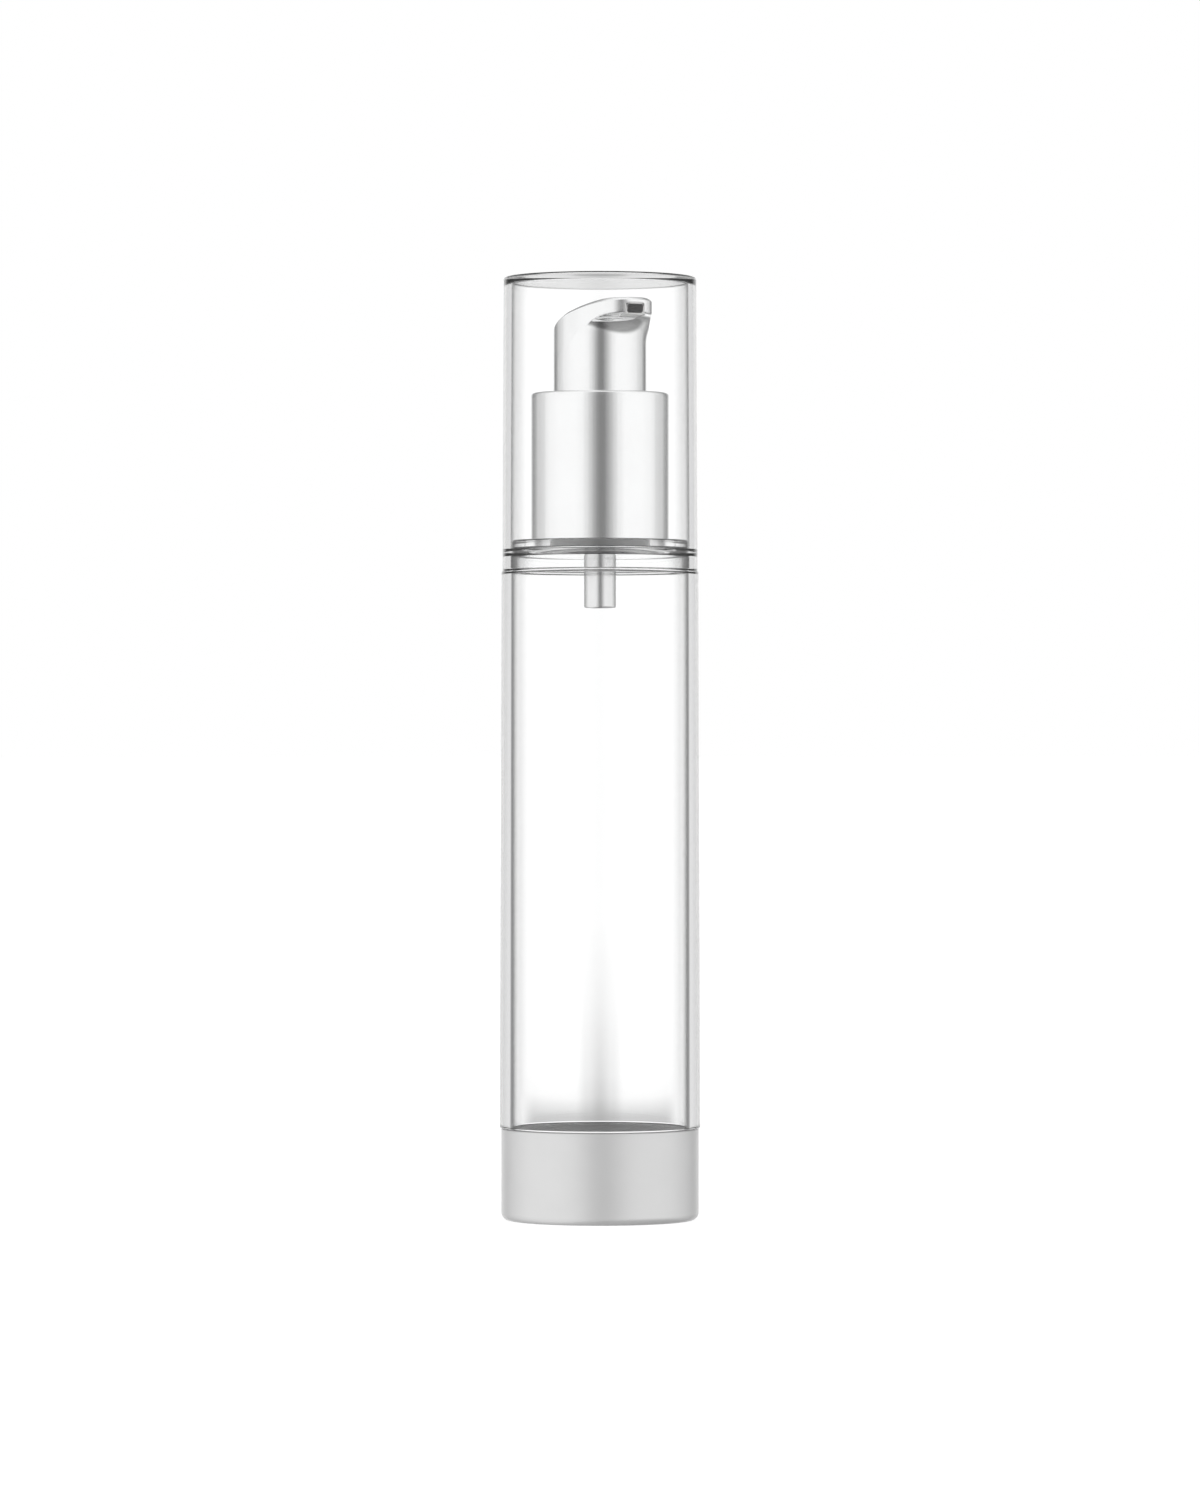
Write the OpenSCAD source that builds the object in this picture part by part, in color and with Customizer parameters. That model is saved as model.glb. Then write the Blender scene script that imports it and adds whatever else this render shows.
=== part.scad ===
// Airless pump bottle, 50 ml size: a clear bottle with a follower piston, a snap-on
// dispensing pump, and a clear overcap. Millimetres, +Z up, origin on the resting plane
// at the bottle's axis. The spout points along -Y.

/* [Bottle] */
// Bore of the chamber that the follower piston runs in
bore_d = 29.2; // [28:0.1:32]
// Clear wall just under the shoulder
wall_top = 1.86; // [1.4:0.02:2.4]
// Clear wall just above the base cap, thicker by the mould's draft
wall_bottom = 2.18; // [1.6:0.02:2.8]
// Length of clear wall from the base cap to the shoulder
body_len = 93.1; // [60:0.1:110]
// Wall of the lower end that plugs into the base cap
spigot_wall = 0.75; // [0.6:0.05:1]
// How far the overcap's seat stands out past the bore's radius
seat_rise = 0.3; // [0.2:0.05:0.6]
// Wall of the overcap's seat
seat_wall = 0.86; // [0.7:0.02:1.2]
// Height of the overcap's seat, from the shoulder to the deck's top
seat_h = 5; // [4.2:0.1:7]
// Thickness of the deck that carries the pump
deck_t = 1.2; // [1:0.1:1.8]
// Round inside the corner of seat and deck
deck_round = 1.5; // [0.8:0.1:1.8]
// How far the overcap's snap bead stands in from its wall
snap_bead = 0.24; // [0.15:0.01:0.3]
// Bore of the neck that the pump plugs into
neck_bore_d = 16.8; // [15.8:0.1:17.4]
// Wall of the neck
neck_wall = 1; // [0.8:0.1:1.2]
// Height of the neck above the deck
neck_h = 7.5; // [6.5:0.1:8.5]

/* [Base cap] */
// Height of the base cap
base_h = 15.4; // [14.6:0.1:20]
// Wall of the base cap
base_wall = 1.1; // [0.9:0.05:1.6]
// Thickness of its floor
base_floor = 1.2; // [1:0.1:2]
// Depth of the hollow under the floor, inside the foot ring
foot_depth = 0.6; // [0.4:0.1:1.2]
// Width of the foot ring
foot_w = 2; // [1.5:0.1:4]
// Round of the bottom edge
base_round = 1.3; // [0.8:0.1:1.8]
// Hole that lets air in under the follower piston
vent_d = 6; // [4:0.1:8]

/* [Follower piston] */
// Height of the follower piston
follower_h = 13.1; // [11.8:0.1:14]
// Height of each sealing lip
lip_h = 2; // [1.4:0.1:2.6]
// Wall of the piston
follower_wall = 1; // [0.8:0.1:1.3]

/* [Collar and pump] */
// Outside diameter of the collar
collar_d = 23.2; // [23:0.1:26]
// Height of the collar
collar_h = 24.6; // [23:0.1:28]
// Wall of the collar
collar_wall = 0.8; // [0.6:0.05:0.9]
// Round of the collar's upper edge
collar_round = 0.5; // [0.3:0.1:0.5]
// Bore of the pump's barrel
barrel_bore_d = 7; // [6.6:0.1:7.4]
// Wall of the pump's barrel
barrel_wall = 0.8; // [0.6:0.05:0.9]
// Length of the inlet tube under the barrel
inlet_len = 9.6; // [6:0.1:11]
// Outside diameter of the inlet tube
inlet_d = 5.4; // [4.8:0.1:6]
// Bore of the inlet tube
inlet_bore_d = 3.2; // [2.4:0.1:3.6]
// Travel of the actuator
stroke = 5; // [4:0.1:6]
// Length of the pump piston
pump_piston_len = 6; // [4.5:0.1:6.5]
// Diameter of the stem
stem_d = 3.8; // [3.4:0.1:4.2]
// Bore of the stem
stem_bore_d = 1.8; // [1.2:0.1:1.9]
// Diameter of the return spring's wire
wire_d = 0.8; // [0.5:0.05:0.9]
// Turns of the return spring
spring_turns = 5; // [4:1:6]
// Diameter of the inlet valve's ball
inlet_ball_d = 3; // [2.6:0.1:3.2]
// Diameter of the outlet valve's ball
outlet_ball_d = 2.4; // [2.2:0.1:2.8]
// Lift of the inlet ball
inlet_lift = 0.8; // [0.5:0.1:1]
// Lift of the outlet ball
outlet_lift = 0.6; // [0.4:0.1:0.8]

/* [Actuator] */
// Diameter of the actuator's round part
head_d = 15.7; // [15:0.1:16.4]
// Height of the actuator's highest point above the collar
head_rise = 15.5; // [14.5:0.1:18]
// Distance of the spout's tip from the axis
spout_reach = 12.55; // [11:0.05:13.2]
// Plan radius of the spout's tip
tip_r = 5.1; // [4.4:0.1:5.6]
// Radius of the crowned top
crown_r = 32; // [28:0.5:36]
// Height of the spout's side wall at its tip
brim_h = 1.8; // [1.4:0.1:2]
// Radius of the scoop under the spout
scoop_r = 7.5; // [6:0.1:10]
// Depth of the scoop's foot under the top, where it meets the round part
scoop_h = 5.7; // [5:0.1:6.2]
// Slope of the channel and the duct under the scoop
duct_slope = 0.25; // [0.1:0.01:0.26]
// Lean of the spout's end face, from upright
chin_angle = 28; // [0:1:32]
// Wall of the actuator's shell
shell_wall = 0.7; // [0.6:0.05:0.9]
// Width of the outlet
outlet_w = 3; // [2.4:0.1:3.4]
// Height of the outlet
outlet_h = 1.5; // [1.2:0.1:1.6]
// Thickness of the insert's rim round the outlet
rim_t = 0.3; // [0.25:0.05:0.4]

/* [Overcap] */
// Wall of the overcap
cap_wall = 1.36; // [1:0.02:1.8]
// Thickness of its top
cap_top_t = 1.1; // [0.9:0.1:2]
// Room between the actuator and the overcap's top
head_room = 2.8; // [1:0.1:6]
// How much narrower the overcap is at its top, on the radius
cap_draft = 0.22; // [0.1:0.02:0.4]

/* [Hidden] */
$fn = 96;

// Radial gap of parts that plug together and stay together
fit_gap = 0.05;
// Radial gap of parts that run in each other
run_gap = 0.04;
// Gap at a stop, so that stopped parts don't bite
stop_gap = 0.3;
// Overlap of cutting shapes past the face that they cut
cut = 1;

// Bottle
bore_r = bore_d / 2;
shoulder_r = bore_r + wall_top;
skirt_r = bore_r + wall_bottom;
spigot_r = bore_r + spigot_wall;
seat_r = bore_r + seat_rise;
seat_in_r = seat_r - seat_wall;
shoulder_z = base_h + body_len;
bore_top_t = 0.5;
bore_top_z = shoulder_z - bore_top_t;
deck_z = shoulder_z + seat_h;
deck_low_z = deck_z - deck_t;
neck_bore_r = neck_bore_d / 2;
neck_r = neck_bore_r + neck_wall;
neck_z = deck_z + neck_h;
bead = 0.4;
bead_h = 1.2;
bead_drop = 2.4;
neck_bead_z = neck_z - bead_drop;
shoulder_round = 0.4;
groove = 0.25;
groove_drop = 4;
groove_z = base_h - groove_drop;
cap_gap = 0.06;
snap_r = 0.9;
snap_drop = 2.1;
snap_room = 0.15;
snap_z = deck_z - snap_drop;
land_r = seat_r + cap_gap - snap_bead - run_gap;

// Base cap
base_r = spigot_r + fit_gap + base_wall;
floor_z = foot_depth + base_floor;

// Follower piston at rest, just over the floor
follower_r = bore_r - run_gap;
follower_low_z = floor_z + stop_gap;
follower_top_z = follower_low_z + follower_h;
follower_travel = bore_top_z - stop_gap - follower_top_z;
lip_relief = 0.6;
web_t = 1.1;
web_drop = 1;
well_wall = 0.9;
lip_edge = 0.5;
lip_slope = 0.4;

// Plug, housing flange and fixing ring, stacked on the neck
gasket_t = 0.6;
flange_t = 1.2;
ring_top_t = 1.2;
hook_gap = 1;
hook_z = deck_z + hook_gap;
flange_z = neck_z + gasket_t;
ring_z = flange_z + flange_t;
ring_top_z = ring_z + ring_top_t;
flange_step = 0.2;
flange_r = neck_r - flange_step;
plug_r = neck_bore_r - fit_gap;
plug_wall = 0.95;
// The collar goes round the fixing ring, which goes round the neck's bead
ring_in_r = neck_r + bead + fit_gap;
ring_wall = 0.7;
ring_min_r = ring_in_r + ring_wall;
collar_r = max(collar_d / 2, ring_min_r + fit_gap + collar_wall);
collar_in_r = collar_r - collar_wall;
collar_z = deck_z + collar_h;

// Pump, worked out downwards from the collar's top
head_top_z = collar_z + head_rise;
stem_r = stem_d / 2;
stem_drop = 12;
stem_top_z = head_top_z - stem_drop;
socket_len = 5;
socket_z = stem_top_z - socket_len;
press_room = 1;
guide_boss_h = 1.3;
guide_boss_z = socket_z - stroke - press_room;
guide_z = guide_boss_z - guide_boss_h;
guide_t = 1.2;
barrel_top_z = guide_z - guide_t;
barrel_bore_r = barrel_bore_d / 2;
barrel_r = barrel_bore_r + barrel_wall;
guide_wall = 0.95;
guide_r = barrel_r + fit_gap + guide_wall;
guide_skirt = 3;
guide_gap = 0.2;
boss_wall = 1;
boss_r = stem_r + boss_wall;
stem_gap = 0.1;
piston_room = 0.1;
pump_piston_z = barrel_top_z - piston_room;
pump_piston_low_z = pump_piston_z - pump_piston_len;
seal_relief = 0.45;
seal_lip = 1.2;
stem_foot_t = 0.8;
stem_foot_z = pump_piston_low_z + stem_foot_t;
socket_gap = 0.02;

// Inlet valve: a ball on the edge of a round seat, kept in by a slotted ring
inlet_ball_r = inlet_ball_d / 2;
inlet_lap = 0.4;
inlet_seat_r = inlet_ball_r - inlet_lap;
seat_gap = 0.02;
ball_rise = sqrt(pow(inlet_ball_r, 2) - pow(inlet_seat_r, 2)) + seat_gap;
inlet_ball_top_z = pump_piston_low_z - stroke - stop_gap - inlet_lift;
inlet_ball_z = inlet_ball_top_z - inlet_ball_r;
inlet_seat_z = inlet_ball_z - ball_rise;
cage_gap = 0.25;
keeper_lap = 0.3;
slot_w = 0.8;
cage_r = inlet_ball_r + cage_gap;
keeper_r = inlet_ball_r - keeper_lap;
keeper_z = inlet_ball_z + inlet_lift + seat_gap
    + sqrt(pow(inlet_ball_r, 2) - pow(keeper_r, 2));
cage_top_z = inlet_ball_top_z + inlet_lift;
barrel_floor_t = 1.6;
barrel_low_z = inlet_seat_z - barrel_floor_t;
inlet_r = inlet_d / 2;
inlet_low_z = barrel_low_z - inlet_len;

// Well in the follower piston, which takes the inlet tube at the end of its travel
well_gap = 0.7;
well_room = 0.8;
well_r = inlet_r + well_gap;
well_floor_z = inlet_low_z - follower_travel - well_room;

// Outlet valve
outlet_ball_r = outlet_ball_d / 2;
stem_bore_r = stem_bore_d / 2;
outlet_ball_z = stem_top_z + seat_gap
    + sqrt(pow(outlet_ball_r, 2) - pow(stem_bore_r, 2));
outlet_cage_r = outlet_ball_r + cage_gap;
outlet_cage_top_z = outlet_ball_z + outlet_ball_r + outlet_lift + seat_gap;

// Actuator, built with its spout along +X and then turned to -Y
head_r = head_d / 2;
head_in_r = head_r - shell_wall;
tip_x = spout_reach - tip_r;
tangent_sin = (head_r - tip_r) / tip_x;
tangent_cos = sqrt(1 - pow(tangent_sin, 2));
crown_lead = 1.3;
crown_x = spout_reach + crown_lead;
crown_z = head_top_z - crown_r;
crown_wall = 0.8;
skirt_room = 0.5;
skirt_low_z = ring_top_z + stroke + skirt_room;
collar_gap = 0.24;
collar_hole_r = head_r + collar_gap;
scoop_foot_z = head_top_z - scoop_h;
outlet_drop = 1.9;
outlet_tip_z = head_top_z - outlet_drop;
outlet_tilt = atan(duct_slope);
duct_wall = 0.25;
chin_rise = 0.1;
rim_w = outlet_w + 2 * rim_t;
rim_h = outlet_h + 2 * rim_t;
// Middle of the arc of radius r that runs from a up to b and bulges away from them
function arc_middle(a, b, r) =
    let (half = norm(b - a) / 2, across = [b.y - a.y, a.x - b.x] / (2 * half))
    (a + b) / 2 + across * sqrt(pow(r, 2) - pow(half, 2));
scoop_at = arc_middle([head_r, scoop_foot_z], [spout_reach, head_top_z - brim_h], scoop_r);
disc_t = 1.5;
disc_rise = 4;
disc_z = socket_z + disc_rise;
core_wall = 1.1;
core_r = stem_r + core_wall;

// Return spring, between the stem guide and the insert's disc
spring_gap = 0.3;
spring_r = core_r + spring_gap + wire_d / 2;
spring_len = disc_z - guide_z;
spring_rings = 12;
spring_sides = 6;

// Overcap
cap_in_r = seat_r + cap_gap;
cap_r = cap_in_r + cap_wall;
cap_in_z = head_top_z + head_room;
cap_z = cap_in_z + cap_top_t;
cap_round = 0.5;

// Square corner less its quarter round, to be cut from or added to a profile's corner
module corner(r) {
    difference() {
        square(r);
        translate([r, r]) circle(r);
    }
}

// Round tube from z0 to z1
module tube(r_out, r_in, z0, z1) {
    translate([0, 0, z0]) difference() {
        cylinder(r = r_out, h = z1 - z0);
        translate([0, 0, -cut]) cylinder(r = r_in, h = z1 - z0 + 2 * cut);
    }
}

// Round of the overcap's snap bead, and with more room the groove that takes it
module snap_circle(room) {
    translate([cap_in_r - snap_bead + snap_r, snap_z]) circle(snap_r + room);
}

module bottle_profile() {
    difference() {
        polygon([
            [bore_r, floor_z],
            [spigot_r, floor_z],
            [spigot_r, base_h],
            [skirt_r, base_h],
            [shoulder_r, shoulder_z],
            [seat_r, shoulder_z],
            [seat_r, snap_z],
            [land_r, snap_z],
            [land_r, deck_z],
            [neck_r, deck_z],
            [neck_r, neck_bead_z],
            [neck_r + bead, neck_bead_z],
            [neck_r + bead, neck_bead_z + bead_h / 2],
            [neck_r, neck_bead_z + bead_h],
            [neck_r, neck_z],
            [neck_bore_r, neck_z],
            [neck_bore_r, deck_low_z],
            [seat_in_r, deck_low_z],
            [seat_in_r, bore_top_z],
            [bore_r, bore_top_z],
        ]);
        translate([spigot_r - groove, groove_z]) square([cut, bead_h]);
        translate([land_r, deck_z]) rotate(180) corner(shoulder_round);
        translate([shoulder_r, shoulder_z]) rotate(180) corner(shoulder_round);
        snap_circle(snap_room);
    }
    translate([seat_in_r, deck_low_z]) rotate(180) corner(deck_round);
}

module bottle() {
    color([0.92, 0.94, 0.95, 0.35]) rotate_extrude() bottle_profile();
}

module base_cap_profile() {
    bead_r = spigot_r - groove + fit_gap;
    difference() {
        polygon([
            [vent_d / 2, foot_depth],
            [base_r - base_round - foot_w, foot_depth],
            [base_r - base_round - foot_w, 0],
            [base_r, 0],
            [base_r, base_h],
            [base_r - base_wall, base_h],
            [base_r - base_wall, groove_z + bead_h - fit_gap],
            [bead_r, groove_z + bead_h * 2 / 3],
            [bead_r, groove_z + bead_h / 3],
            [base_r - base_wall, groove_z + fit_gap],
            [base_r - base_wall, floor_z],
            [vent_d / 2, floor_z],
        ]);
        translate([base_r, 0]) rotate(90) corner(base_round);
    }
}

module base_cap() {
    color([0.8, 0.8, 0.8]) rotate_extrude() base_cap_profile();
}

module follower_profile() {
    waist_r = follower_r - lip_relief;
    in_r = waist_r - follower_wall;
    web_z = follower_top_z - web_drop;
    polygon([
        [0, well_floor_z],
        [well_r, well_floor_z],
        [well_r, web_z],
        [in_r - lip_slope, web_z],
        [follower_r - lip_edge, follower_top_z],
        [follower_r, follower_top_z],
        [follower_r, follower_top_z - lip_h / 2],
        [waist_r, follower_top_z - lip_h],
        [waist_r, follower_low_z + lip_h],
        [follower_r, follower_low_z + lip_h / 2],
        [follower_r, follower_low_z],
        [follower_r - follower_wall, follower_low_z],
        [in_r, follower_low_z + lip_h],
        [in_r, web_z - web_t],
        [well_r + well_wall, web_z - web_t],
        [well_r + well_wall, well_floor_z - well_wall],
        [0, well_floor_z - well_wall],
    ]);
}

module follower_piston() {
    color([0.62, 0.63, 0.64]) rotate_extrude() follower_profile();
}

module neck_plug_profile() {
    polygon([
        [plug_r - plug_wall, barrel_low_z],
        [plug_r, barrel_low_z],
        [plug_r, neck_z],
        [flange_r, neck_z],
        [flange_r, flange_z],
        [plug_r - plug_wall, flange_z],
    ]);
}

module neck_plug() {
    color([0.9, 0.91, 0.92, 0.6]) rotate_extrude() neck_plug_profile();
}

module pump_housing_profile() {
    inlet_bore_r = inlet_bore_d / 2;
    polygon([
        [inlet_bore_r, inlet_low_z],
        [inlet_r, inlet_low_z],
        [inlet_r, barrel_low_z],
        [barrel_r, barrel_low_z],
        [barrel_r, flange_z],
        [flange_r, flange_z],
        [flange_r, ring_z],
        [barrel_r, ring_z],
        [barrel_r, barrel_top_z],
        [barrel_bore_r, barrel_top_z],
        [barrel_bore_r, inlet_seat_z],
        [inlet_seat_r, inlet_seat_z],
        [inlet_seat_r, barrel_low_z],
        [inlet_bore_r, barrel_low_z],
    ]);
}

module pump_housing() {
    color([0.85, 0.86, 0.87]) rotate_extrude() pump_housing_profile();
}

module inlet_cage() {
    slot_len = 2 * (barrel_bore_r + cut);
    color([0.95, 0.95, 0.94]) difference() {
        rotate_extrude() polygon([
            [cage_r, inlet_seat_z],
            [barrel_bore_r - fit_gap, inlet_seat_z],
            [barrel_bore_r - fit_gap, cage_top_z],
            [keeper_r, cage_top_z],
            [keeper_r, keeper_z],
            [cage_r, keeper_z],
        ]);
        for (a = [0, 90])
            rotate(a) translate([-slot_len / 2, -slot_w / 2, inlet_ball_z])
                cube([slot_len, slot_w, cage_top_z - inlet_ball_z + cut]);
    }
}

module inlet_ball() {
    color([0.75, 0.76, 0.78]) translate([0, 0, inlet_ball_z]) sphere(inlet_ball_r);
}

module stem_guide() {
    hole_r = stem_r + stem_gap;
    color([0.95, 0.95, 0.94]) {
        tube(guide_r, barrel_r + fit_gap, barrel_top_z - guide_skirt, barrel_top_z);
        tube(guide_r, hole_r, barrel_top_z, guide_z);
        tube(boss_r, hole_r, guide_z, guide_boss_z);
    }
}

module fixing_ring() {
    ring_r = collar_in_r - fit_gap;
    hook_r = neck_r + fit_gap;
    color([0.95, 0.95, 0.94]) {
        tube(ring_r, hook_r, hook_z, neck_bead_z - fit_gap);
        tube(ring_r, ring_in_r, neck_bead_z - fit_gap, ring_z);
        tube(ring_r, guide_r + guide_gap, ring_z, ring_top_z);
    }
}

module collar_profile() {
    difference() {
        polygon([
            [collar_in_r, deck_z],
            [collar_r, deck_z],
            [collar_r, collar_z],
            [collar_hole_r, collar_z],
            [collar_hole_r, collar_z - collar_wall],
            [collar_in_r, collar_z - collar_wall],
        ]);
        translate([collar_r, collar_z]) rotate(180) corner(collar_round);
    }
}

module collar() {
    color([0.82, 0.83, 0.84]) rotate_extrude() collar_profile();
}

module pump_piston_profile() {
    seal_r = barrel_bore_r - run_gap;
    seal_waist_r = seal_r - seal_relief;
    sleeve_r = stem_r + run_gap;
    polygon([
        [stem_bore_r, pump_piston_low_z],
        [seal_r, pump_piston_low_z],
        [seal_r, pump_piston_low_z + seal_lip / 2],
        [seal_waist_r, pump_piston_low_z + seal_lip],
        [seal_waist_r, pump_piston_z - seal_lip],
        [seal_r, pump_piston_z - seal_lip / 2],
        [seal_r, pump_piston_z],
        [sleeve_r, pump_piston_z],
        [sleeve_r, stem_foot_z],
        [stem_bore_r, stem_foot_z],
    ]);
}

module pump_piston() {
    color([0.93, 0.94, 0.95]) rotate_extrude() pump_piston_profile();
}

// Ring of points round the spring's wire at share t of its length
function wire_ring(t) =
    let (
        turn = 360 * spring_turns * t,
        z = guide_z + wire_d / 2 + (spring_len - wire_d) * t
    )
    [for (k = [0:spring_sides - 1])
        let (
            a = 360 * (k + 0.5) / spring_sides,
            r = spring_r + wire_d / 2 * cos(a)
        )
        [r * cos(turn), r * sin(turn), z + wire_d / 2 * sin(a)]];

// Least gap between the spring's wire and itself, measured on its rings' middles
function spring_middle(i) =
    let (t = i / spring_steps, turn = 360 * spring_turns * t)
    [spring_r * cos(turn), spring_r * sin(turn), (spring_len - wire_d) * t];
spring_steps = spring_turns * spring_rings;
spring_least_gap = min([
    for (i = [0:spring_steps], j = [i + spring_rings / 2:spring_steps])
        norm(spring_middle(i) - spring_middle(j)) - wire_d
]);
echo(spring_least_gap = spring_least_gap);

module return_spring() {
    points = [for (i = [0:spring_steps]) each wire_ring(i / spring_steps)];
    sides = [for (i = [0:spring_steps - 1], k = [0:spring_sides - 1])
        let (a = i * spring_sides + k, b = i * spring_sides + (k + 1) % spring_sides)
        each [[a, b, b + spring_sides], [a, b + spring_sides, a + spring_sides]]];
    first = [for (k = [1:spring_sides - 2]) [0, k + 1, k]];
    last_ring = spring_steps * spring_sides;
    last = [for (k = [1:spring_sides - 2]) [last_ring, last_ring + k, last_ring + k + 1]];
    color([0.7, 0.71, 0.73]) polyhedron(points, concat(sides, first, last));
}

module pump_stem() {
    color([0.95, 0.95, 0.94]) tube(stem_r, stem_bore_r, stem_foot_z, stem_top_z);
}

module outlet_ball() {
    color([0.75, 0.76, 0.78]) rotate(-90)
        translate([0, 0, outlet_ball_z]) sphere(outlet_ball_r);
}

// Plan of the spout: straight flanks, tangent to the round part and to the round tip
module spout_plan() {
    translate([tip_x, 0]) circle(tip_r);
    polygon([
        [head_r * tangent_sin, head_r * tangent_cos],
        [tip_x + tip_r * tangent_sin, tip_r * tangent_cos],
        [tip_x + tip_r * tangent_sin, -tip_r * tangent_cos],
        [head_r * tangent_sin, -head_r * tangent_cos],
    ]);
}

// Everything under the crowned top, less a wall
module under_crown(wall, half_width) {
    translate([crown_x, half_width, crown_z]) rotate([90, 0, 0])
        cylinder(r = crown_r - wall, h = 2 * half_width);
}

// Bar along the outlet's channel, from its start to past the spout's tip
module outlet_bar(width, height, start_x) {
    translate([spout_reach, 0, outlet_tip_z]) rotate([0, -outlet_tilt, 0])
        translate([start_x - spout_reach, -width / 2, -height / 2])
            cube([spout_reach - start_x + cut, width, height]);
}

// Room in front of the spout's leaning end face
module chin_cut() {
    chin_h = rim_h + 2 * duct_wall + cut;
    translate([spout_reach, 0, outlet_tip_z + outlet_h / 2 + chin_rise])
        rotate([0, chin_angle, 0]) translate([0, -tip_r, -chin_h])
            cube([chin_h, 2 * tip_r, chin_h]);
}

// Spout: the plan's outline down to the scoop, with the duct under its middle
module spout_block() {
    block_z = scoop_foot_z - stop_gap;
    block_h = head_top_z - block_z;
    intersection() {
        translate([0, 0, block_z]) linear_extrude(block_h) spout_plan();
        under_crown(0, spout_reach);
        union() {
            difference() {
                translate([0, 0, block_z]) cylinder(r = spout_reach + cut, h = block_h);
                rotate_extrude() translate(scoop_at) circle(scoop_r);
            }
            difference() {
                outlet_bar(rim_w + 2 * duct_wall, rim_h + 2 * duct_wall, head_r / 2);
                chin_cut();
            }
        }
    }
}

module actuator_shell() {
    color([0.82, 0.83, 0.84]) rotate(-90) difference() {
        union() {
            intersection() {
                translate([0, 0, skirt_low_z]) cylinder(r = head_r, h = head_top_z - skirt_low_z);
                under_crown(0, spout_reach);
            }
            spout_block();
        }
        intersection() {
            translate([0, 0, skirt_low_z - cut])
                cylinder(r = head_in_r, h = head_top_z - skirt_low_z + cut);
            under_crown(crown_wall, spout_reach);
        }
        outlet_bar(rim_w + 2 * fit_gap, rim_h + 2 * fit_gap, core_r / 2);
        chin_cut();
    }
}

module actuator_insert() {
    channel_foot_z = outlet_tip_z - duct_slope * spout_reach;
    color([0.96, 0.96, 0.96]) rotate(-90) difference() {
        union() {
            intersection() {
                translate([0, 0, socket_z]) cylinder(r = core_r, h = head_top_z - socket_z);
                under_crown(crown_wall + fit_gap, core_r + cut);
            }
            translate([0, 0, disc_z]) cylinder(r = head_in_r - fit_gap, h = disc_t);
            intersection() {
                outlet_bar(rim_w, rim_h, core_r / 2 + fit_gap);
                translate([0, 0, socket_z]) linear_extrude(head_top_z - socket_z) spout_plan();
            }
        }
        translate([0, 0, socket_z - cut]) cylinder(r = stem_r + socket_gap, h = socket_len + cut);
        translate([0, 0, stem_top_z])
            cylinder(r = outlet_cage_r, h = outlet_cage_top_z - stem_top_z);
        translate([0, 0, stem_top_z]) cylinder(r = stem_bore_r,
            h = channel_foot_z - stem_top_z);
        outlet_bar(outlet_w, outlet_h, -stem_bore_r);
        chin_cut();
    }
}

module overcap_profile() {
    top_r = cap_r - cap_draft;
    top_in_r = cap_in_r - cap_draft;
    difference() {
        polygon([
            [cap_in_r, shoulder_z],
            [cap_r, shoulder_z],
            [top_r, cap_z],
            [0, cap_z],
            [0, cap_in_z],
            [top_in_r, cap_in_z],
            [cap_in_r, deck_z],
        ]);
        translate([top_r, cap_z]) rotate(180) corner(cap_round);
    }
    intersection() {
        snap_circle(0);
        translate([cap_in_r - snap_bead - cut, shoulder_z])
            square([snap_bead + cut + cap_wall / 2, seat_h]);
    }
}

module overcap() {
    color([0.92, 0.94, 0.95, 0.3]) rotate_extrude() overcap_profile();
}

bottle();
base_cap();
follower_piston();
neck_plug();
pump_housing();
inlet_cage();
inlet_ball();
stem_guide();
fixing_ring();
collar();
pump_piston();
return_spring();
pump_stem();
outlet_ball();
actuator_insert();
actuator_shell();
overcap();
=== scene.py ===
# %% [markdown]
# # Dressing an airless pump bottle
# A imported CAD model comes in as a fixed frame. Each visible piece is then rebuilt as a fine
# mesh over its CAD node, and gets a finish made of shader nodes. Everything is in metres.
# The clear bottle and overcap are real walls with real bores, because what makes clear
# plastic readable is how its walls bend the light of the room around it.

import math

import bmesh
import bpy
import numpy as np
from mathutils import Matrix, Vector


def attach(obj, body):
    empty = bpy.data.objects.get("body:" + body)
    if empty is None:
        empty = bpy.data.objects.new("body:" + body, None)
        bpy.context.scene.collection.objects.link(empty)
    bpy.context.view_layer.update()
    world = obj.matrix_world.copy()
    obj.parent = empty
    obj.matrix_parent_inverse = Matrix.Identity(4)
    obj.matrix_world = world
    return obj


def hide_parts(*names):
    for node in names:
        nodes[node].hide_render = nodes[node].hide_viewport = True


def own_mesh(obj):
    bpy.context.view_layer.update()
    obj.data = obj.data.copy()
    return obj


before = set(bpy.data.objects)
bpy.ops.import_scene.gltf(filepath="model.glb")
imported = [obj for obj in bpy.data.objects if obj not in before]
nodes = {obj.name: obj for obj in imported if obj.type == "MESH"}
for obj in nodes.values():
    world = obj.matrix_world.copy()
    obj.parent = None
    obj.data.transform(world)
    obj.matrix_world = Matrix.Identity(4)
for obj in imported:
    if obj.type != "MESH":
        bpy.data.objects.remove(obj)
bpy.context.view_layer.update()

# %% [markdown]
# ## The camera
# The photograph was taken level with the middle of the bottle, from over a metre away, with
# a long lens. The spout points a little to the right of the camera. The distance comes from
# how little the rims curve, and the angle from where the spout's tip stands.

# %% Camera
MM = 0.001
CAMERA_TURN = math.radians(-27.5)
CAMERA_DISTANCE = 1165 * MM
CAMERA_HEIGHT = 78.5 * MM
SENSOR_WIDTH = 36
FOCAL_LENGTH = 167.3
to_camera = Vector((math.sin(CAMERA_TURN), -math.cos(CAMERA_TURN), 0))
to_right = Vector((math.cos(CAMERA_TURN), math.sin(CAMERA_TURN), 0))

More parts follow.
